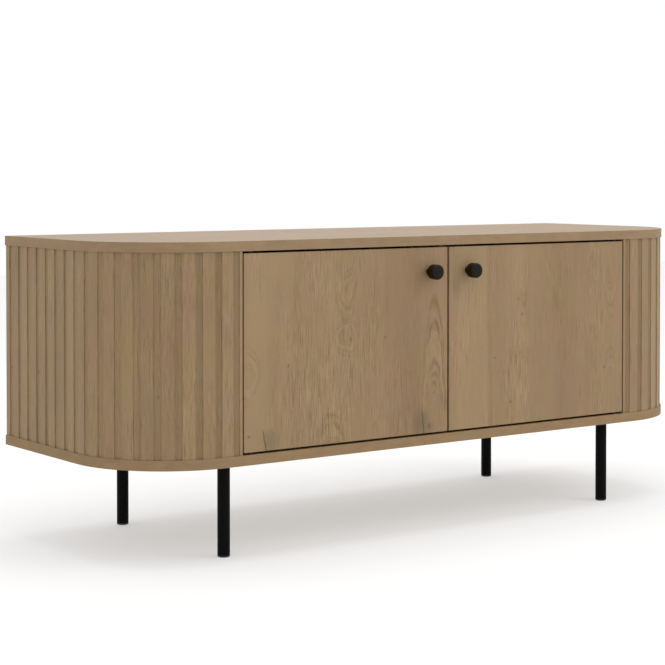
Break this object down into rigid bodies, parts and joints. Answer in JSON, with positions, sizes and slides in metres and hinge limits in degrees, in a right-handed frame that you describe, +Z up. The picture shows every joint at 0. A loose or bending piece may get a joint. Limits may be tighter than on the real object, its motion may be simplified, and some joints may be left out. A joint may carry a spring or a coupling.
{
  "type": "media cabinet",
  "caption": "Low media cabinet with a round-cornered top and base, fluted wrap-round sides, hinged doors with round knobs, inner shelves and slim round legs.",
  "frame": {"origin": "on the floor, at the middle of the width and of the overall depth, knobs included", "axes": "+X to the right along the front, +Y to the back, +Z up"},
  "size_m": [1.22, 0.444, 0.498],
  "materials": {
    "oak": "matt oak grain foil, grey-beige",
    "backboard": "thin fibreboard, plain oak tone",
    "beech": "raw fluted beech",
    "black_metal": "satin black powder coat",
    "zinc_steel": "zinc plated",
    "nylon": "black nylon",
    "dark_plastic": "matt black plastic",
    "magnet": "ferrite block",
    "rubber": "soft black rubber"
  },
  "bodies": {
    "cabinet": {"back_panel_screws": "zinc_steel", "bottom_panel": "oak", "cam_bolts": "zinc_steel", "cam_locks": "zinc_steel", "catch_screws": "zinc_steel", "centre_partition": "oak", "confirmat_screws": "zinc_steel", "door_bumpers": "rubber", "dowels": "beech", "front_left_leg": "black_metal", "front_left_leg_glide": "dark_plastic", "front_left_leg_plate": "black_metal", "front_right_leg": "black_metal", "front_right_leg_glide": "dark_plastic", "front_right_leg_plate": "black_metal", "left_back_panel": "backboard", "left_catch_magnet": "magnet", "left_fluted_side": "oak", "left_inner_side": "oak", "left_magnet_catch": "dark_plastic", "left_shelf": "oak", "leg_plate_screws": "zinc_steel", "pivot_pins": "zinc_steel", "rear_left_leg": "black_metal", "rear_left_leg_glide": "dark_plastic", "rear_left_leg_plate": "black_metal", "rear_right_leg": "black_metal", "rear_right_leg_glide": "dark_plastic", "rear_right_leg_plate": "black_metal", "right_back_panel": "backboard", "right_catch_magnet": "magnet", "right_fluted_side": "oak", "right_inner_side": "oak", "right_magnet_catch": "dark_plastic", "right_shelf": "oak", "shelf_pins": "zinc_steel", "top_panel": "oak"},
    "left_door": {"left_door": "oak", "left_door_bushes": "nylon", "left_knob": "black_metal", "left_knob_screw": "zinc_steel", "left_strike_plate": "zinc_steel", "left_strike_screws": "zinc_steel"},
    "right_door": {"right_door": "oak", "right_door_bushes": "nylon", "right_knob": "black_metal", "right_knob_screw": "zinc_steel", "right_strike_plate": "zinc_steel", "right_strike_screws": "zinc_steel"}
  },
  "joints": [
    {"name": "left_door_hinge", "type": "hinge", "parent": "cabinet", "child": "left_door", "pos_m": [-0.39325, -0.188, 0.324], "axis": [0, 0, -1], "range_deg": [0, 130]},
    {"name": "right_door_hinge", "type": "hinge", "parent": "cabinet", "child": "right_door", "pos_m": [0.39325, -0.188, 0.324], "axis": [0, 0, 1], "range_deg": [0, 130]}
  ]
}
